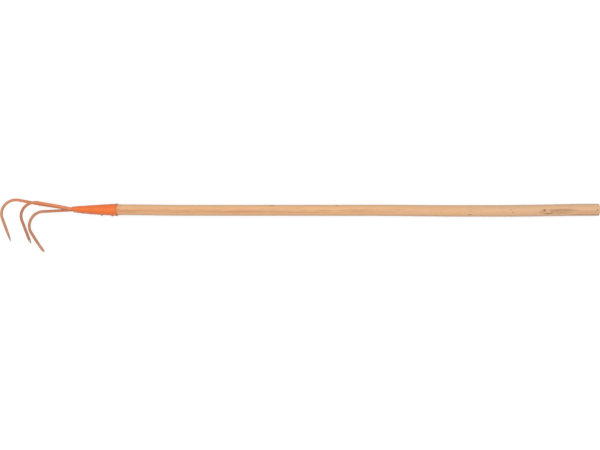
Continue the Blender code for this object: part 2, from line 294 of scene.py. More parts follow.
def fill_ends(faces, rings, folded):
    """Closes both ends: a folded ring goes out and back, so its end is a strip of quads."""
    size = len(rings[0])
    last = (len(rings) - 1) * size
    if not folded:
        faces.append(list(range(size))[::-1])
        faces.append([last + i for i in range(size)])
        return
    for i in range(size // 2 - 1):
        strip = (i, i + 1, size - 2 - i, size - 1 - i)
        faces.append(strip[::-1])
        faces.append([last + k for k in strip])


def skin(name, rings, places=None, wear=None, folded=False):
    """Closed mesh over matching rings of points, with its finish's places and wear stored; on the socket
    the wear also holds a painted shade line by the rim.

    Places are where each point is for the finish, and differ from the points on a bent bar.
    """
    size = len(rings[0])
    faces = []
    for k in range(len(rings) - 1):
        near, far = k * size, (k + 1) * size
        for i in range(size):
            before = (i - 1) % size
            faces.append((near + before, near + i, far + i, far + before))
    fill_ends(faces, rings, folded)
    points = [point for ring in rings for point in ring]
    lay = lying_place()
    mesh = bpy.data.meshes.new(name)
    mesh.from_pydata([inside_box(lay @ point) for point in points], [], faces)
    mesh.validate()
    spread = [place for ring in places for place in ring] if places else points
    stored = mesh.attributes.new("tool_place", "FLOAT_VECTOR", "POINT")
    stored.data.foreach_set("vector", [value for place in spread for value in place])
    worn = mesh.attributes.new("wear", "FLOAT", "POINT")
    if wear:
        worn.data.foreach_set("value", [value for ring in wear for value in ring])
    mesh.shade_smooth()
    return face_outward(mesh)


def inside_box(point):
    """The point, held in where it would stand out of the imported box, by 0.2 mm at most."""
    low, high = cad_box
    return Vector([min(max(value, low[i]), high[i]) for i, value in enumerate(point)])


def face_outward(mesh):
    volume = 0.0
    mesh.calc_loop_triangles()
    for triangle in mesh.loop_triangles:
        a, b, c = (mesh.vertices[i].co for i in triangle.vertices)
        volume += a.dot(b.cross(c))
    if volume < 0:
        mesh.flip_normals()
    return mesh


def stand_for(node, mesh, material):
    """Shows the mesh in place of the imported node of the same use."""
    piece = bpy.data.objects.new(node + "_skin", mesh)
    bpy.context.scene.collection.objects.link(piece)
    mesh.materials.append(material)
    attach(piece, "root")
    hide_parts(node)


class Section:
    """Outline of the socket at a depth in from the rim: two half rounds with flats between."""

    def __init__(self, depth):
        sizes = settings().socket
        bar = settings().tines.bar
        fit = settings().fit
        half_height = bar / 2 + fit + sizes.wall
        half_width = bar + fit + half_height
        rim = sizes.rim / 2
        cone = rim - depth * math.tan(sizes.taper)
        closing = max(0.0, 1 - max(0.0, sizes.length - depth) / sizes.closing)
        pressed = 1 - math.sqrt(1 - closing**2)
        top = mix(cone, half_height + sizes.neck_rise, pressed)
        bottom = mix(cone, half_height - sizes.neck_rise, pressed)
        self.x = -depth
        self.radius = (top + bottom) / 2
        self.flat = mix(rim, half_width, depth / sizes.length) - self.radius
        self.centre = (top - bottom) / 2

    def point(self, turn, inset):
        across = math.copysign(self.flat, math.cos(turn))
        radius = self.radius - inset
        z = self.centre + radius * math.sin(turn)
        return Vector((self.x, across + radius * math.cos(turn), z))

    def bottom(self, y, inset=0.0):
        return Vector((self.x, y, self.centre - self.radius + inset))

    def reach(self, turn):
        """Distance from the centre to the outside, in a straight line at the angle."""
        sideways = self.flat * math.sin(turn)
        return self.flat * math.cos(turn) + math.sqrt(self.radius**2 - sideways**2)


def bowed(x):
    """How far the wood has bowed: half near the socket, half before the grip, and back."""
    sizes = settings().handle
    portion = x / sizes.visible
    first = ease(portion, 0.0, 0.16)
    second = ease(portion, 0.53, 0.707)
    back = ease(portion, 0.795, 1.0)
    return sizes.bow * (0.5 * first + 0.5 * second - back)


def wood_upward():
    """Which way is up on the side of the wood that faces the light."""
    roll = settings().roll
    return Vector((0, -math.sin(roll), math.cos(roll)))


def wood_middle(x):
    """Place of the bowed wood's axis at a distance from the rim."""
    return Vector((x, 0, 0)) - wood_upward() * bowed(x)


def handle_radius(x):
    sizes = settings().handle
    if x < sizes.waist_place:
        return mix(sizes.neck, sizes.waist, x / sizes.waist_place) / 2
    portion = (x - sizes.waist_place) / (sizes.visible - sizes.waist_place)
    return mix(sizes.waist, sizes.butt, portion**1.3) / 2


def wood_ring(x, radius, turns):
    """Turned ring round the bowed axis, a little uneven as sanded wood is."""
    middle = wood_middle(x)
    unevenness = 0.00009
    ring = []
    for turn in turns:
        across = Vector((0, math.cos(turn), math.sin(turn)))
        uneven = noise.noise(Vector((x * 9, 0, 0)) + across * 0.8) * unevenness
        ring.append(middle + across * (radius + uneven))
    return ring


def handle_mesh():
    """Tenon pressed to the socket's shape, long swelling shaft and rounded butt."""
    sizes = settings().handle
    turns = half_step_angles(72)
    tenon_steps, shaft_steps, edge_steps = 24, 150, 8
    inset = settings().socket.wall + settings().fit
    rings = []
    for i in range(tenon_steps + 1):
        section = Section(mix(sizes.tenon, 0.0, i / tenon_steps))
        rings.append([section.point(turn, inset) for turn in turns])
    shaft_start = 0.012
    shaft_end = sizes.visible - sizes.rounding
    for i in range(shaft_steps + 1):
        x = mix(shaft_start, shaft_end, i / shaft_steps)
        rings.append(wood_ring(x, handle_radius(x), turns))
    for i in range(1, edge_steps + 1):
        turn = math.pi / 2 * i / edge_steps
        x = shaft_end + sizes.rounding * math.sin(turn)
        drop = sizes.rounding * (1 - math.cos(turn))
        rings.append(wood_ring(x, handle_radius(shaft_end) - drop, turns))
    flat = handle_radius(shaft_end) - sizes.rounding
    for portion in (0.97, 0.7, 0.4, 0.15):
        rings.append(wood_ring(sizes.visible, flat * portion, turns))
    return skin("handle_skin", rings)


def sheet_ring(section, shrink, sides):
    """Outline of the bent sheet with rounded seam edges, out along one face and back."""
    sizes = settings().socket
    gap = sizes.seam / 2 + shrink
    rounding = sizes.edge
    corner = []
    corner_steps = 3
    for i in range(corner_steps + 1):
        turn = math.pi / 2 * i / corner_steps
        corner.append((gap + rounding * (1 - math.sin(turn)), rounding * (1 - math.cos(turn))))
    ring = []
    for outer in (True, False):
        inset = shrink if outer else sizes.wall - shrink
        into = 1 if outer else -1
        side = [section.bottom(y, inset + into * drop) for y, drop in corner[::-1]]
        side += [section.point(turn, inset) for turn in half_step_angles(sides)]
        side += [section.bottom(-y, inset + into * drop) for y, drop in corner]
        ring += side if outer else side[::-1]
    return ring


def socket_stations():
    """Depth and edge rounding of each ring, from the rim to the mouth, closest by the rim."""
    sizes = settings().socket
    edge_steps, rim_steps, cone_steps = 4, 8, 60
    rim_start, rim_end, cone_end = 0.0006, 0.006, sizes.length - 0.001
    turns = [math.pi / 2 * i / edge_steps for i in range(edge_steps + 1)]
    edge = [(sizes.edge * (1 - math.sin(t)), sizes.edge * (1 - math.cos(t))) for t in turns]
    stations = edge[::-1]
    stations += [(mix(rim_start, rim_end, i / rim_steps), 0.0) for i in range(rim_steps + 1)]
    stations += [(mix(rim_end, cone_end, i / cone_steps), 0.0) for i in range(1, cone_steps + 1)]
    stations += [(sizes.length - depth, shrink) for depth, shrink in edge]
    return stations


def socket_mesh():
    """Sheet rolled to a cone, pressed flat round the shanks, its seam left open."""
    sizes = settings().socket
    upward = wood_upward()
    sides = 88
    rows_by_seam = 4
    cut_depth, dent_depth = 0.00025, 0.00008
    rings, wear = [], []
    for depth, shrink in socket_stations():
        section = Section(depth)
        near_rim = 1 - ease(depth, 0.0, 0.004)
        # Painted shade: a line of dulled paint from 0.8 to 3.6 mm in from the rim stands for the shading
        # where the rim turns away from the light. It goes into the stored wear together with the real
        # wear of the edges.
        line = ease(depth, 0.0008, 0.0016) - ease(depth, 0.0024, 0.0036)
        mouth = ease(depth, sizes.length - 0.014, sizes.length)
        worn = max(shrink / sizes.edge, DULLED * max(line, 0.6 * mouth))
        ring = sheet_ring(section, shrink, sides)
        half = len(ring) // 2
        middle = Vector((section.x, 0, section.centre))
        flared, marks = [], []
        for i, point in enumerate(ring):
            out = (point - middle).normalized()
            ear = ease(abs(out.dot(upward)), 0.62, 1.0)
            cut = (noise.noise(out * 1.7) * cut_depth + sizes.ear * ear) * near_rim
            dent = noise.noise(Vector((depth * 30, 0, 0)) + out * 1.5) * dent_depth
            moved = point + out * (sizes.flare * near_rim**2 + dent)
            flared.append(moved + Vector((cut, 0, 0)))
            from_seam = min(i % half, half - 1 - i % half)
            chipped = ear * (1 - ease(depth, 0.0003, 0.0016))
            marks.append(max(worn, 1 - from_seam / rows_by_seam, chipped))
        rings.append(flared)
        wear.append(marks)
    return skin("socket_skin", rings, wear=wear, folded=True)


def bend(points, heading, inward, radius, turn, steps):
    """Adds points round a bend from the heading towards the inward direction."""
    start = points[-1]
    for i in range(1, steps + 1):
        a = turn * i / steps
        points.append(start + radius * (heading * math.sin(a) + inward * (1 - math.cos(a))))
    return heading * math.cos(turn) + inward * math.sin(turn)


def run(points, heading, distance, steps):
    start = points[-1]
    for i in range(1, steps + 1):
        points.append(start + heading * distance * i / steps)


def bow_portion(way, middle):
    """Portion of a shank's bow, none at its ends and all of it at the middle of the bow."""
    return math.sin(math.pi * way ** (math.log(0.5) / math.log(middle))) ** 4


def tine_route(bar, lateral, fan, twist):
    """Centre line of a tine from its seat in the socket to its tip, its last bit in fine steps."""
    sizes = settings().tines
    socket = settings().socket
    bend_steps, shank_steps, hook_steps, leg_steps, tip_steps = 8, 40, 56, 58, 16
    tip_length = 0.0020
    ahead = Vector((-1, 0, 0))
    heading = Vector((
        -math.cos(bar.rise) * math.cos(fan),
        math.cos(bar.rise) * math.sin(fan),
        math.sin(bar.rise),
    ))
    points = [Vector((sizes.seat - socket.length, lateral, socket.neck_rise))]
    run(points, ahead, sizes.seat + sizes.straight, bend_steps)
    inward = (heading - ahead * heading.dot(ahead)).normalized()
    heading = bend(points, ahead, inward, sizes.spread, ahead.angle(heading), bend_steps)
    run(points, heading, bar.shank, shank_steps)
    upright = (Vector((0, 0, 1)) - heading * heading.z).normalized()
    for i in range(1, shank_steps):
        points[i - shank_steps - 1] += upright * bar.bow * bow_portion(i / shank_steps, bar.bow_at)
    side = heading.cross(upright)
    inward = -(upright * math.cos(twist) + side * math.sin(twist))
    sideways = heading.cross(inward)
    heading = bend(points, heading, inward, bar.hook, bar.turn, hook_steps)
    for i in range(leg_steps):
        heading.rotate(Matrix.Rotation(bar.curl / leg_steps, 3, sideways))
        run(points, heading, (bar.leg - tip_length) / leg_steps, 1)
    run(points, heading, tip_length, tip_steps)
    return points


def drawn_down(distance, bar):
    """Share of the bar's thickness left at a distance from the tip."""
    knots = (
        (0.0, bar.tip),
        (bar.nose * 0.4, mix(bar.tip, bar.shoulder, 0.5)),
        (bar.nose, bar.shoulder),
        ((bar.nose + bar.point) / 2, mix(bar.shoulder, 1.0, 0.55)),
        (bar.point, 1.0),
    )
    for (near, low), (far, high) in zip(knots, knots[1:]):
        if distance <= far:
            return mix(low, high, (distance - near) / (far - near))
    return 1.0


def rounded_end(distance, radius):
    """Share of the tip's thickness left where its very end is rounded over."""
    most = 0.0008
    rounding = min(0.8 * radius, most)
    out = max(0.0, 1 - distance / rounding)
    return 1 - rounding / radius * (1 - math.sqrt(1 - out**2))


def tine_mesh(name, bar, route, seed):
    """Round bar along the route, with the place along the straight bar kept for its finish."""
    sizes = settings().tines
    sides = 28
    coat_starts = 0.002
    travel = [0.0]
    for before, after in zip(route, route[1:]):
        travel.append(travel[-1] + (after - before).length)
    across = Vector((0, 1, 0))
    rings, places, wear = [], [], []
    for i, point in enumerate(route):
        heading = (route[min(i + 1, len(route) - 1)] - route[max(i - 1, 0)]).normalized()
        across = (across - heading * across.dot(heading)).normalized()
        over = heading.cross(across)
        from_tip = travel[-1] - travel[i]
        portion = drawn_down(from_tip, bar)
        point = point + over * sizes.bar / 2 * (1 - portion) * bar.lean
        portion *= rounded_end(from_tip, sizes.bar / 2 * bar.tip)
        coat = sizes.coat * ease(travel[i], sizes.seat, sizes.seat + coat_starts)
        drawn = 1 - ease(from_tip, 0.0, bar.point)
        ring, laid = [], []
        for k in range(sides):
            turn = math.tau * k / sides
            around = Vector((0, math.cos(turn), math.sin(turn)))
            squared = 0.05 * drawn * math.cos(4 * turn)
            uneven = noise.noise(Vector((travel[i] * 90 + seed, 0, 0)) + around * 0.9)
            radius = (sizes.bar / 2 + coat) * portion * (1 + squared + 0.012 * uneven)
            ring.append(point + (across * around.y + over * around.z) * radius)
            laid.append(Vector((travel[i] + seed, 0, 0)) + around * sizes.bar / 2)
        dulled = DULLED * (1 - ease(from_tip, 0.3 * bar.dull, bar.dull))
        rubbed = 1 - ease(from_tip, 0.25 * bar.bare, bar.bare)
        rings.append(ring)
        places.append(laid)
        wear.append([max(dulled, rubbed)] * sides)
    end = rings[-1]
    for width in (0.6, 0.2):
        rings.append([point + (corner - point) * width for corner in end])
        places.append(places[-1])
        wear.append(wear[-1])
    return skin(name, rings, places, wear)


def turned_rings(profile, sides):
    """Rings about Z from (radius, height) pairs."""
    return [
        [
            Vector((radius * math.cos(turn), radius * math.sin(turn), height))
            for turn in half_step_angles(sides)
        ]
        for radius, height in profile
    ]


def nail_mesh(name, depth, seed):
    """Domed nail, its head a little battered, square to the tool through the socket."""
    sizes = settings().fixings
    section = Section(depth)
    turn = sizes.turn - math.pi / 2
    out = Vector((0, math.cos(turn), math.sin(turn)))
    seat = Vector((section.x, 0, section.centre)) + out * (section.reach(turn) + settings().seat_gap)
    stand = Matrix.Translation(seat) @ out.to_track_quat("Z", "Y").to_matrix().to_4x4()
    shank, head, lip = sizes.shank / 2, sizes.head / 2, sizes.dome * 0.3
    point_length = 0.0025
    profile = [(shank * 0.05, -sizes.nail), (shank, point_length - sizes.nail), (shank, -0.0001)]
    profile += [(head * 0.96, 0.0), (head, lip * 0.35), (head, lip * 0.8)]
    dome_steps = 12
    for i in range(1, dome_steps):
        a = math.pi / 2 * i / dome_steps
        profile.append((head * math.cos(a), lip + (sizes.dome - lip) * math.sin(a)))
    dent_depth = 0.00009
    rings = []
    for ring in turned_rings(profile, 32):
        battered = []
        for corner in ring:
            dent = noise.noise(corner * 900 + Vector((seed, 0, 0))) * dent_depth
            battered.append(stand @ (corner + Vector((0, 0, dent if corner.z > 0 else 0.0))))
        rings.append(battered)
    return skin(name, rings)


def bead_rings(steps, sides, half_length, half_width, height):
    """Weld bead as rings from its foot to its crown, rippled where it froze in steps."""
    crown = math.radians(86)
    rings = []
    for i in range(steps + 1):
        a = crown * i / steps
        ring = []
        for turn in half_step_angles(sides):
            x = half_length * math.cos(a) * math.cos(turn)
            y = half_width * math.cos(a) * math.sin(turn)
            ripple = 0.07 * math.cos(x / half_length * 9 + 3 * (y / half_width) ** 2)
            ring.append(Vector((x, y, height * math.sin(a) * (1 + ripple))))
        rings.append(ring)
    return rings


def tack_mesh():
    """Small weld bead across the seam on the underside of the socket."""
    sizes = settings().fixings
    depth = settings().socket.length - sizes.tack_place
    front = Section(depth + sizes.tack_length / 2).bottom(0)
    rear = Section(depth - sizes.tack_length / 2).bottom(0)
    along = (rear - front).normalized()
    down = Vector((along.z, 0, -along.x))
    turn = Matrix((along, down.cross(along), down)).transposed().to_4x4()
    stand = Matrix.Translation((front + rear) / 2 + down * settings().seat_gap) @ turn
    height = sizes.tack_height * 0.94
    rings = bead_rings(12, 36, sizes.tack_length / 2, sizes.tack_width / 2, height)
    return skin("seam_weld_skin", [[stand @ corner for corner in ring] for ring in rings])


def plug_mesh():
    """Weld metal in the pocket under the shanks, just inside the mouth of the socket."""
    socket = settings().socket
    tines = settings().tines
    ceiling = socket.neck_rise - tines.bar / 2 - settings().fit
    inset = socket.wall + settings().fit
    deep_end = socket.length - tines.seat + 0.001
    mouth_end = socket.length - 0.003
    rings = []
    steps, across = 16, 27
    for i in range(steps + 1):
        section = Section(mix(mouth_end, deep_end, i / steps))
        edge = math.asin((section.centre - ceiling) / (section.radius - inset))
        turns = [mix(edge - math.pi, -edge, k / across) for k in range(across + 1)]
        ring = [section.point(turn, inset) for turn in turns]
        if i == 0:
            for point in ring:
                point.x += noise.noise(point * 700) * 0.0003
        rings.append(ring)
    return skin("neck_weld_skin", rings)


def feed(tree, target, value):
    """Links a socket to the input, or sets the input to a plain value."""
    if isinstance(value, bpy.types.NodeSocket):
        tree.links.new(value, target)
    else:
        target.default_value = value


def fill(tree, inputs, **values):
    """Links or sets inputs by name, where _ stands for a space."""
    for name, value in values.items():
        feed(tree, inputs[name.replace("_", " ")], value)


def node(tree, kind, options=None, **values):
    """Adds a node, sets its options, and fills its inputs."""
    made = tree.nodes.new(kind)
    for name, value in (options or {}).items():
        setattr(made, name, value)
    fill(tree, made.inputs, **values)
    return made


def maths(tree, operation, *values, clamp=False):
    """Output of a Math node with the given values or sockets."""
    made = node(tree, "ShaderNodeMath", {"operation": operation, "use_clamp": clamp})
    for target, value in zip(made.inputs, values):
        feed(tree, target, value)
    return made.outputs[0]


def vectors(tree, operation, *values):
    """Outputs of a Vector Math node with the given values or sockets."""
    made = node(tree, "ShaderNodeVectorMath", {"operation": operation})
    for target, value in zip(made.inputs, values):
        feed(tree, target, value)
    return made.outputs


def scaled(tree, colour, factor):
    """The colour, made lighter or darker by the factor."""
    made = node(tree, "ShaderNodeVectorMath", {"operation": "SCALE"}, Vector=colour, Scale=factor)
    return made.outputs["Vector"]


def speckle(tree, place, scale, detail=2.0, roughness=0.5, output="Fac"):
    """Noise from 0 to 1 at a scale given per metre, along and across the tool."""
    stretched = vectors(tree, "MULTIPLY", place, scale)["Vector"]
    return node(
        tree, "ShaderNodeTexNoise", Vector=stretched, Scale=1.0, Detail=detail, Roughness=roughness
    ).outputs[output]


def between(tree, value, low, high, bottom=0.0, top=1.0):
    """The value taken smoothly from the range low to high onto bottom to top."""
    return node(
        tree, "ShaderNodeMapRange", {"interpolation_type": "SMOOTHSTEP"}, Value=value,
        From_Min=low, From_Max=high, To_Min=bottom, To_Max=top,
    ).outputs["Result"]


def opaque(colour):
    """The colour with its alpha, or the socket that gives it."""
    return colour if isinstance(colour, bpy.types.NodeSocket) else (*colour[:3], 1.0)


def blended(tree, portion, first, second):
    """Colour mixed from the first to the second by the portion."""
    made = node(tree, "ShaderNodeMix", {"data_type": "RGBA"})
    feed(tree, made.inputs[0], portion)
    feed(tree, made.inputs[6], opaque(first))
    feed(tree, made.inputs[7], opaque(second))
    return made.outputs[2]


def new_group(name, inputs, outputs):
    """Empty shader node group with named sockets, each given as (name, kind, default)."""
    tree = bpy.data.node_groups.new(name, "ShaderNodeTree")
    for title, kind, default in inputs:
        made = tree.interface.new_socket(title, in_out="INPUT", socket_type="NodeSocket" + kind)
        if default is not None:
            made.default_value = default
    for title, kind in outputs:
        tree.interface.new_socket(title, in_out="OUTPUT", socket_type="NodeSocket" + kind)
    entry = tree.nodes.new("NodeGroupInput")
    leave = tree.nodes.new("NodeGroupOutput")
    return tree, entry.outputs, leave.inputs


def enamel_group():
    """Sprayed enamel: faint orange peel, thin and thick patches, and dulled spots."""
    tree, given, result = new_group(
        "Sprayed enamel",
        [
            ("Place", "Vector", None), ("Paint", "Color", None), ("Thin Paint", "Color", None),
            ("Unevenness", "Float", 0.3), ("Peel", "Float", 1.0),
        ],
        [("Color", "Color"), ("Roughness", "Float"), ("Height", "Float")],
    )
    place = given["Place"]
    patches = speckle(tree, place, (45, 160, 160), detail=3.0, roughness=0.55)
    specks = speckle(tree, place, (700, 1500, 1500), detail=2.0, roughness=0.6)
    thin = maths(tree, "MULTIPLY", between(tree, patches, 0.38, 0.75), given["Unevenness"])
    dots = maths(tree, "MULTIPLY", between(tree, specks, 0.66, 0.8), given["Unevenness"])
    thin = maths(tree, "ADD", thin, maths(tree, "MULTIPLY", dots, 0.6), clamp=True)
    peel = speckle(tree, place, (420, 420, 420), detail=1.0)
    height = maths(tree, "MULTIPLY", peel, given["Peel"])
    fill(
        tree, result,
        Color=blended(tree, thin, given["Paint"], given["Thin Paint"]),
        Roughness=between(tree, patches, 0.2, 0.9, 0.36, 0.56),
        Height=maths(tree, "SUBTRACT", height, maths(tree, "MULTIPLY", thin, 0.4)),
    )
    return tree


def steel_group():
    """Bare steel, scoured lengthways and mottled by handling and soil."""
    tree, given, result = new_group(
        "Scoured steel",
        [("Place", "Vector", None), ("Steel", "Color", None), ("Stain", "Color", None)],
        [("Color", "Color"), ("Roughness", "Float"), ("Height", "Float")],
    )
    place = given["Place"]
    scratches = speckle(tree, place, (90, 5200, 5200), detail=3.0, roughness=0.65)
    mottle = speckle(tree, place, (260, 520, 520), detail=4.0, roughness=0.6)
    stain = between(tree, mottle, 0.40, 0.72)
    bright = between(tree, scratches, 0.35, 0.7, 0.82, 1.12)
    toned = scaled(tree, given["Steel"], bright)
    fill(
        tree, result,
        Color=blended(tree, stain, toned, given["Stain"]),
        Roughness=between(tree, mottle, 0.3, 0.8, 0.32, 0.62),
        Height=maths(tree, "MULTIPLY", scratches, 0.6),
    )
    return tree


def rubbed_group():
    """Ragged mask of where the finish is rubbed away, from the wear stored on the skin."""
    tree, given, result = new_group(
        "Rubbed away",
        [("Place", "Vector", None), ("Wear", "Float", 0.0), ("Raggedness", "Float", 0.5)],
        [("Mask", "Float"), ("Border", "Float")],
    )
    coarse = speckle(tree, given["Place"], (160, 420, 420), detail=4.0, roughness=0.6)
    fine = speckle(tree, given["Place"], (1200, 2400, 2400), detail=2.0)
    fine = maths(tree, "MULTIPLY", fine, 0.3)
    both = maths(tree, "ADD", maths(tree, "MULTIPLY", coarse, 0.7), fine)
    ragged = maths(tree, "MULTIPLY", maths(tree, "SUBTRACT", both, 0.5), given["Raggedness"])
    amount = maths(tree, "ADD", given["Wear"], maths(tree, "MULTIPLY", ragged, 2.0))
    mask = between(tree, amount, 0.42, 0.70)
    border = between(tree, amount, 0.22, 0.50)
    fill(tree, result, Mask=mask, Border=border)
    return tree


def streak_group():
    """Mask of one knot or streak in the wood: a soft, ragged spindle at its own place."""
    tree, given, result = new_group(
        "Wood streak",
        [
            ("Place", "Vector", None), ("Centre", "Vector", None), ("Reach", "Vector", None),
            ("Strength", "Float", 1.0),
        ],
        [("Mask", "Float")],
    )
    place = given["Place"]
    ragged = speckle(tree, place, (60, 500, 500), output="Color")
    apart = vectors(tree, "SUBTRACT", place, given["Centre"])["Vector"]
    spindle = vectors(tree, "DIVIDE", apart, given["Reach"])["Vector"]
    swing = 0.9
    pushed = vectors(tree, "MULTIPLY_ADD", ragged, (swing,) * 3, (-swing / 2,) * 3)["Vector"]
    away = vectors(tree, "LENGTH", vectors(tree, "ADD", spindle, pushed)["Vector"])["Value"]
    mask = between(tree, away, 1.25, 0.45)
    fill(tree, result, Mask=maths(tree, "MULTIPLY", mask, given["Strength"]))
    return tree


def shared(name, make):
    """The node group of this name, made the first time that it is asked for."""
    return bpy.data.node_groups.get(name) or make()


def shader_tree(name):
    material = bpy.data.materials.new(name)
    material.use_nodes = True
    return material, material.node_tree, material.node_tree.nodes["Principled BSDF"]


def stored_value(tree, name, output):
    return node(tree, "ShaderNodeAttribute", {"attribute_name": name}).outputs[output]


def group_node(tree, group, **inputs):
    return node(tree, "ShaderNodeGroup", {"node_tree": group}, **inputs)


def relief(tree, shader, height, distance, strength):
    """Lets a height change the way the surface faces."""
    made = node(tree, "ShaderNodeBump", Strength=strength, Distance=distance, Height=height)
    fill(tree, shader.inputs, Normal=made.outputs["Normal"])


def on_near_side(along, up):
    """Place on the wood's lit side, a distance along it and a height above its own axis."""
    roll = settings().roll
    toward = Vector((0, -math.cos(roll), -math.sin(roll)))
    radius = handle_radius(along)
    out = toward * math.sqrt(max(0.0, radius**2 - up**2))
    return wood_middle(along) + wood_upward() * up + out


WOOD_MARKS = (
    ("pin knot behind the socket", 0.024, 0.0006, (0.0040, 0.0012, 0.0012), 0.35),
    ("fleck on the upper edge", 0.3655, 0.0112, (0.0065, 0.0020, 0.0030), 0.80),
    ("fleck on the upper edge", 0.5163, 0.0108, (0.0030, 0.0018, 0.0030), 0.60),
    ("fleck", 0.4056, -0.0045, (0.0040, 0.0014, 0.0014), 0.35),
    ("fleck", 0.828, -0.0005, (0.0050, 0.0014, 0.0014), 0.35),
    ("fleck", 0.828, -0.0092, (0.0060, 0.0014, 0.0014), 0.80),
    ("fleck", 0.923, 0.0022, (0.0034, 0.0012, 0.0012), 0.45),
    ("fleck", 0.928, -0.0038, (0.0026, 0.0012, 0.0012), 0.75),
    ("pin knot by the grip", 1.0020, 0.0000, (0.0040, 0.0028, 0.0028), 1.0),
    ("shadow of the knot", 0.9985, -0.0030, (0.0110, 0.0055, 0.0055), 0.30),
    ("dark line by the grip", 1.0110, -0.0078, (0.0135, 0.0016, 0.0016), 1.0),
    ("end of the dark line", 1.0190, -0.0040, (0.0040, 0.0050, 0.0050), 0.50),
    ("mineral streak", 1.0460, -0.0002, (0.0400, 0.0034, 0.0034), 0.60),
    ("start of the streak", 1.0270, -0.0010, (0.0150, 0.0042, 0.0042), 0.50),
    ("dull patch below it", 1.0400, -0.0058, (0.0300, 0.0040, 0.0040), 0.34),
    ("fleck at the butt", 1.1255, -0.0010, (0.0034, 0.0022, 0.0022), 0.75),
)

# Red veins and warm patches in the wood. The last entry, the shade by the butt, is painted shade on the
# lower edge near the butt.
RED_VEINS_AND_SHADE = (
    ("long vein", 0.290, -0.0034, (0.1050, 0.0014, 0.0014), 0.70),
    ("short vein", 0.262, -0.0042, (0.0300, 0.0012, 0.0012), 0.50),
    ("vein in the middle", 0.478, -0.0012, (0.0280, 0.0012, 0.0012), 0.40),
    ("warm patch", 0.560, 0.0005, (0.0450, 0.0032, 0.0032), 0.35),
    ("blush by the butt", 1.1000, -0.0040, (0.0300, 0.0040, 0.0040), 0.25),
    ("shade by the butt", 1.1050, -0.0115, (0.0500, 0.0040, 0.0040), 0.60),
)


def marked(tree, place, marks):
    """Mask of all the given knots, streaks or veins together."""
    spindle = shared("Wood streak", streak_group)
    together = None
    for title, along, up, reach, strength in marks:
        mark = group_node(
            tree, spindle, Place=place, Centre=on_near_side(along, up), Reach=reach, Strength=strength
        )
        mark.label = title
        mask = mark.outputs["Mask"]
        together = mask if together is None else maths(tree, "MAXIMUM", together, mask)
    return together


def end_grain(tree, place, level):
    """How much darker the sawn end is, with the growth rings that show there alone."""
    ring_spacing = 0.0024
    normal = node(tree, "ShaderNodeNewGeometry").outputs["Normal"]
    facing = vectors(tree, "DOT_PRODUCT", normal, butt_heading())["Value"]
    sawn = between(tree, facing, 0.5, 0.95)
    waver = speckle(tree, place, (1, 160, 160), detail=2.0)
    curved = maths(tree, "MULTIPLY_ADD", waver, 0.0022, level)
    waves = maths(tree, "SINE", maths(tree, "MULTIPLY", curved, math.tau / ring_spacing))
    rings = between(tree, waves, -0.6, 1.0)
    grain = speckle(tree, place, (1, 2600, 2600), detail=1.0)
    vessels = between(tree, grain, 0.5, 0.7, 0.0, 0.35)
    depth = maths(tree, "ADD", maths(tree, "MULTIPLY_ADD", rings, 0.42, 0.10), vessels)
    return maths(tree, "MULTIPLY", sawn, depth)


def wood_level(tree, place):
    """Height above the wood's axis as its growth rings run, which wander a little."""
    wander = speckle(tree, place, (2.6, 34, 34), detail=2.0)
    height = vectors(tree, "DOT_PRODUCT", place, wood_upward())["Value"]
    return maths(tree, "ADD", height, maths(tree, "MULTIPLY_ADD", wander, 0.014, -0.007))


def wood_bands(tree, level, along):
    """How dark the wood is from its red band, its inner rings and its paler upper flank, which is partly
    a painted highlight.
    """
    ring_spacing = 0.0085
    band_start, band_end = 0.07, 0.17
    middle = between(tree, along, band_start, band_end, 0.0003, 0.0027)
    width = between(tree, along, band_start, band_end, 0.78, 1.0)
    from_band = maths(tree, "ABSOLUTE", maths(tree, "ADD", level, middle))
    band = between(tree, maths(tree, "MULTIPLY", from_band, width), 0.0058, 0.0018)
    reddened = maths(tree, "MULTIPLY", band, between(tree, along, 0.10, 0.90, 0.64, 0.30))
    inner = maths(tree, "SINE", maths(tree, "MULTIPLY", level, math.tau / ring_spacing))
    dark = maths(tree, "ADD", reddened, maths(tree, "MULTIPLY_ADD", inner, 0.05, 0.14))
    # Paler towards the upper flank: partly the wood's own tone and partly a painted highlight on the
    # side towards the lamp.
    return maths(tree, "SUBTRACT", dark, between(tree, level, 0.0035, 0.0095, 0.0, 0.20))


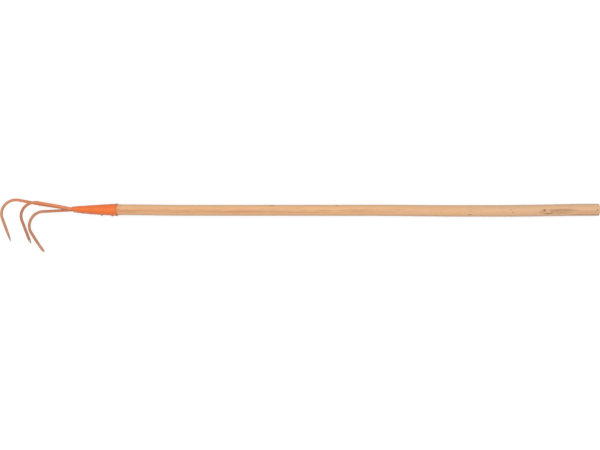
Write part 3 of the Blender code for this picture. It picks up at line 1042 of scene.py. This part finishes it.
def wood_material():
    """Light hardwood, turned and lightly sealed, with its bands, fibres, pores and marks."""
    finishes = settings().finishes
    material, tree, shader = shader_tree("ash_wood")
    place = stored_value(tree, "tool_place", "Vector")
    along = node(tree, "ShaderNodeSeparateXYZ", Vector=place).outputs["X"]
    level = wood_level(tree, place)
    broad = speckle(tree, place, (5.5, 210, 210), detail=3.0, roughness=0.6)
    patches = speckle(tree, place, (38, 430, 430), detail=3.0, roughness=0.6)
    fibres = speckle(tree, place, (14, 1100, 1100), detail=3.0, roughness=0.6)
    fine = speckle(tree, place, (60, 3600, 3600), detail=2.0, roughness=0.6)
    pores = between(tree, speckle(tree, place, (150, 4200, 4200), detail=1.0), 0.62, 0.74)
    dark = wood_bands(tree, level, along)
    for grain, swing in ((broad, 0.34), (patches, 0.46), (fibres, 0.50), (fine, 0.30)):
        dark = maths(tree, "ADD", dark, between(tree, grain, 0.25, 0.78, -swing / 2, swing / 2))
    dark = maths(tree, "ADD", dark, maths(tree, "MULTIPLY", pores, 0.16))
    dark = maths(tree, "ADD", dark, end_grain(tree, place, level), clamp=True)
    wood = blended(tree, dark, finishes.wood_light, finishes.wood_dark)
    wood = blended(tree, between(tree, along, 0.45, 1.0, 0.0, 0.55), wood, finishes.wood_grey)
    wood = blended(tree, marked(tree, place, RED_VEINS_AND_SHADE), wood, finishes.wood_red)
    wood = blended(tree, marked(tree, place, WOOD_MARKS), wood, finishes.wood_mark)
    # Painted bounce light: the wood within 16 mm of the rim is tinted up to 30 % towards the socket's
    # orange paint, as light thrown back from the socket.
    socket_bounce_tint = between(tree, along, 0.016, 0.001, 0.0, 0.30)
    wood = blended(tree, socket_bounce_tint, wood, finishes.socket_paint)
    rough = between(tree, fibres, 0.2, 0.8, 0.44, 0.56)
    fill(
        tree, shader.inputs, Base_Color=wood, Roughness=rough, Specular_IOR_Level=0.35,
        Sheen_Weight=1.0, Sheen_Tint=opaque(finishes.dust),
    )
    raised = maths(tree, "ADD", maths(tree, "MULTIPLY", fine, 0.5), maths(tree, "MULTIPLY", fibres, 0.7))
    raised = maths(tree, "SUBTRACT", raised, maths(tree, "MULTIPLY", pores, 0.8))
    relief(tree, shader, raised, 0.00005, 0.6)
    return material


def painted_steel(name, paint, dulled, bare_steel, unevenness, peel, raggedness, sheen):
    """Enamel over steel, first dulled and then rubbed through where the skin is worn; the dulled colour
    also carries painted shade by the socket's rim and on the left tine.
    """
    undercoat = opaque(settings().finishes.undercoat)
    material, tree, shader = shader_tree(name)
    place = stored_value(tree, "tool_place", "Vector")
    wear = stored_value(tree, "wear", "Fac")
    toned = blended(tree, between(tree, wear, 0.0, DULLED), paint, dulled)
    coat = group_node(
        tree, shared("Sprayed enamel", enamel_group), Place=place, Paint=toned,
        Thin_Paint=undercoat, Unevenness=unevenness, Peel=peel,
    ).outputs
    bare = group_node(
        tree, shared("Scoured steel", steel_group), Place=place, Steel=opaque(bare_steel),
        Stain=undercoat,
    ).outputs
    mask = group_node(
        tree, shared("Rubbed away", rubbed_group), Place=place, Wear=wear, Raggedness=raggedness
    ).outputs
    border = maths(tree, "MULTIPLY", mask["Border"], 0.45)
    thinned = blended(tree, border, coat["Color"], undercoat)
    surface = blended(tree, mask["Mask"], thinned, bare["Color"])
    rough = node(
        tree, "ShaderNodeMix", {"data_type": "FLOAT"}, Factor=mask["Mask"], A=coat["Roughness"],
        B=bare["Roughness"],
    )
    fill(
        tree, shader.inputs, Base_Color=surface, Roughness=rough.outputs[0],
        Metallic=maths(tree, "MULTIPLY", mask["Mask"], 0.85), Specular_IOR_Level=0.3,
        Sheen_Weight=sheen, Sheen_Tint=opaque(settings().finishes.dust),
    )
    height = maths(tree, "ADD", coat["Height"], maths(tree, "MULTIPLY", mask["Mask"], -1.2))
    height = maths(tree, "ADD", height, bare["Height"])
    relief(tree, shader, height, 0.00006, 0.5)
    return material


def tine_enamel(name, dulled):
    """Thin enamel of a tine, dulled towards its point; the darker dulled colour given for the left tine
    is painted shade.
    """
    finishes = settings().finishes
    return painted_steel(
        name, finishes.tine_paint, dulled, finishes.steel,
        unevenness=0.25, peel=1.0, raggedness=0.8, sheen=0.5,
    )


class CULTIVATOR_OT_handle(Operator):
    """Turns the wooden handle and gives it its grain"""

    bl_idname = "cultivator.handle"
    bl_label = "Turn Handle"

    def execute(self, context):
        stand_for("handle", handle_mesh(), wood_material())
        return {"FINISHED"}


class CULTIVATOR_OT_socket(Operator):
    """Rolls the sheet socket and paints it"""

    bl_idname = "cultivator.socket"
    bl_label = "Roll Socket"

    def execute(self, context):
        finishes = settings().finishes
        material = painted_steel(
            "socket_enamel", finishes.socket_paint, finishes.socket_dulled_and_shaded, finishes.cut_edge,
            unevenness=0.06, peel=1.0, raggedness=0.5, sheen=0.6,
        )
        stand_for("socket", socket_mesh(), material)
        return {"FINISHED"}


class CULTIVATOR_OT_tines(Operator):
    """Bends, draws and paints the three tines"""

    bl_idname = "cultivator.tines"
    bl_label = "Bend Tines"

    def execute(self, context):
        tool = settings()
        # The left tine gets a darker copy of the enamel, a painted shade.
        clean = tine_enamel("tine_enamel", tool.finishes.tine_dulled)
        shaded_enamel = tine_enamel("shaded_tine_enamel", tool.finishes.tine_shaded_dulled)
        pitch = tool.tines.bar + tool.fit
        bars = (
            ("tine_centre", tool.tine_centre, 0.0, 0.0, 0.0, clean),
            ("tine_left", tool.tine_left, -1.0, 1.0, 0.7, shaded_enamel),
            ("tine_right", tool.tine_right, 1.0, -1.0, 1.9, clean),
        )
        for name, bar, side, lean, seed, material in bars:
            route = tine_route(bar, side * pitch, side * tool.tines.fan, lean * tool.tines.twist)
            mesh = tine_mesh(name + "_skin", bar, route, seed)
            stand_for(name, mesh, material)
        return {"FINISHED"}


class CULTIVATOR_OT_nails(Operator):
    """Drives the two nails through the socket"""

    bl_idname = "cultivator.nails"
    bl_label = "Drive Nails"

    def execute(self, context):
        sizes = settings().fixings
        paint, bare = settings().finishes.nail_paint, settings().finishes.steel
        material = painted_steel(
            "nail_enamel", paint, paint, bare, unevenness=0.5, peel=1.0, raggedness=0.9, sheen=0.15
        )
        stand_for("nail_rear", nail_mesh("nail_rear_skin", sizes.rear, 0.0), material)
        stand_for("nail_front", nail_mesh("nail_front_skin", sizes.front, 5.0), material)
        return {"FINISHED"}


class CULTIVATOR_OT_welds(Operator):
    """Lays the tack over the seam and the weld in the neck of the socket"""

    bl_idname = "cultivator.welds"
    bl_label = "Lay Welds"

    def execute(self, context):
        paint, bare = settings().finishes.weld_paint, settings().finishes.steel
        material = painted_steel(
            "weld_enamel", paint, paint, bare, unevenness=0.35, peel=1.6, raggedness=0.6, sheen=0.15
        )
        stand_for("seam_weld", tack_mesh(), material)
        stand_for("neck_weld", plug_mesh(), material)
        return {"FINISHED"}


def seen_outright(tree):
    """1 where the camera sees a surface, also in metal or through glass, and 0 for its light."""
    path = node(tree, "ShaderNodeLightPath").outputs
    seen = maths(tree, "MAXIMUM", path["Is Camera Ray"], path["Is Glossy Ray"])
    return maths(tree, "MAXIMUM", seen, path["Is Transmission Ray"])


def floor_material():
    """Pale floor that reads white, and still takes the shadow of the tool."""
    material, tree, shader = shader_tree("pale_floor")
    place = node(tree, "ShaderNodeTexCoord").outputs["Object"]
    faint = between(tree, speckle(tree, place, (3, 3, 3), detail=3.0), 0.3, 0.7, 0.985, 1.0)
    tone = scaled(tree, settings().finishes.floor, faint)
    fill(tree, shader.inputs, Base_Color=tone, Roughness=0.9, Specular_IOR_Level=0.0)
    away = vectors(tree, "LENGTH", place)["Value"]
    whiteness = between(tree, away, 1.0, 3.5, 0.76, 0.87)
    strength = maths(tree, "MULTIPLY", seen_outright(tree), whiteness)
    glow = node(tree, "ShaderNodeEmission", Color=WHITE, Strength=strength)
    both = node(tree, "ShaderNodeAddShader")
    tree.links.new(shader.outputs[0], both.inputs[0])
    tree.links.new(glow.outputs[0], both.inputs[1])
    tree.links.new(both.outputs[0], tree.nodes["Material Output"].inputs["Surface"])
    return material


def white_surround():
    """Even light from all round, and a white background wherever it is looked at."""
    world = bpy.data.worlds.new("studio_surround")
    bpy.context.scene.world = world
    world.use_nodes = True
    tree = world.node_tree
    sky = settings().studio.sky
    strength = maths(tree, "ADD", sky, maths(tree, "MULTIPLY", seen_outright(tree), 1.0 - sky))
    fill(tree, tree.nodes["Background"].inputs, Color=WHITE, Strength=strength)


def soft_lamp(studio):
    """One broad, soft lamp over the tool."""
    light = bpy.data.lights.new("overhead_softbox", "AREA")
    light.shape = "RECTANGLE"
    light.size = studio.lamp_length
    light.size_y = studio.lamp_width
    light.energy = studio.lamp
    lamp = bpy.data.objects.new("overhead_softbox", light)
    lamp.location = (0.0, studio.lamp_place, studio.lamp_height)
    bpy.context.scene.collection.objects.link(lamp)


class CULTIVATOR_OT_stage(Operator):
    """Sets the pale floor, the soft lamp, the white surround and the camera"""

    bl_idname = "cultivator.stage"
    bl_label = "Set Stage"

    def execute(self, context):
        studio = settings().studio
        place_camera(context.scene, studio)
        half = studio.floor_reach
        mesh = bpy.data.meshes.new("floor")
        corners = [(-half, -half, 0), (half, -half, 0), (half, half, 0), (-half, half, 0)]
        mesh.from_pydata(corners, [], [(0, 1, 2, 3)])
        mesh.materials.append(floor_material())
        floor = bpy.data.objects.new("floor", mesh)
        context.scene.collection.objects.link(floor)
        soft_lamp(studio)
        white_surround()
        context.scene.view_settings.view_transform = "Standard"
        return {"FINISHED"}


def place_camera(scene, studio):
    """Camera straight above the tool as it lies, square to the handle."""
    along = butt_heading()
    up = Vector((0, 1, 0))
    back = along.cross(up)
    rim = lying_place().translation
    data = bpy.data.cameras.new("camera")
    data.lens = studio.lens
    data.sensor_width = 36.0
    camera = bpy.data.objects.new("camera", data)
    turn = Matrix((along, up, back)).transposed().to_4x4()
    aim = rim + along * studio.camera_place - up * studio.camera_offset
    camera.matrix_world = Matrix.Translation(aim + back * studio.camera_height) @ turn
    scene.collection.objects.link(camera)
    scene.camera = camera


class CULTIVATOR_PT_tool(Panel):
    bl_idname = "CULTIVATOR_PT_tool"
    bl_label = "Claw Cultivator"
    bl_space_type = "VIEW_3D"
    bl_region_type = "UI"
    bl_category = "Cultivator"

    def draw(self, context):
        for step in STEPS:
            self.layout.operator(step.bl_idname)
        finishes = context.scene.cultivator.finishes
        self.layout.prop(finishes, "wood_light")
        self.layout.prop(finishes, "socket_paint")
        self.layout.prop(finishes, "tine_paint")


STEPS = (
    CULTIVATOR_OT_handle,
    CULTIVATOR_OT_socket,
    CULTIVATOR_OT_tines,
    CULTIVATOR_OT_nails,
    CULTIVATOR_OT_welds,
    CULTIVATOR_OT_stage,
)

GROUPS = (
    HandleSizes,
    SocketSizes,
    TineSizes,
    CentreTine,
    LeftTine,
    RightTine,
    FixingSizes,
    Finishes,
    StudioSettings,
    CultivatorSettings,
)


def register():
    for made in (*GROUPS, *STEPS, CULTIVATOR_PT_tool):
        bpy.utils.register_class(made)
    bpy.types.Scene.cultivator = PointerProperty(type=CultivatorSettings)


def unregister():
    del bpy.types.Scene.cultivator
    for made in (CULTIVATOR_PT_tool, *reversed(STEPS), *reversed(GROUPS)):
        bpy.utils.unregister_class(made)


def main():
    register()
    for step in STEPS:
        family, name = step.bl_idname.split(".")
        getattr(getattr(bpy.ops, family), name)()


if __name__ == "__main__":
    main()
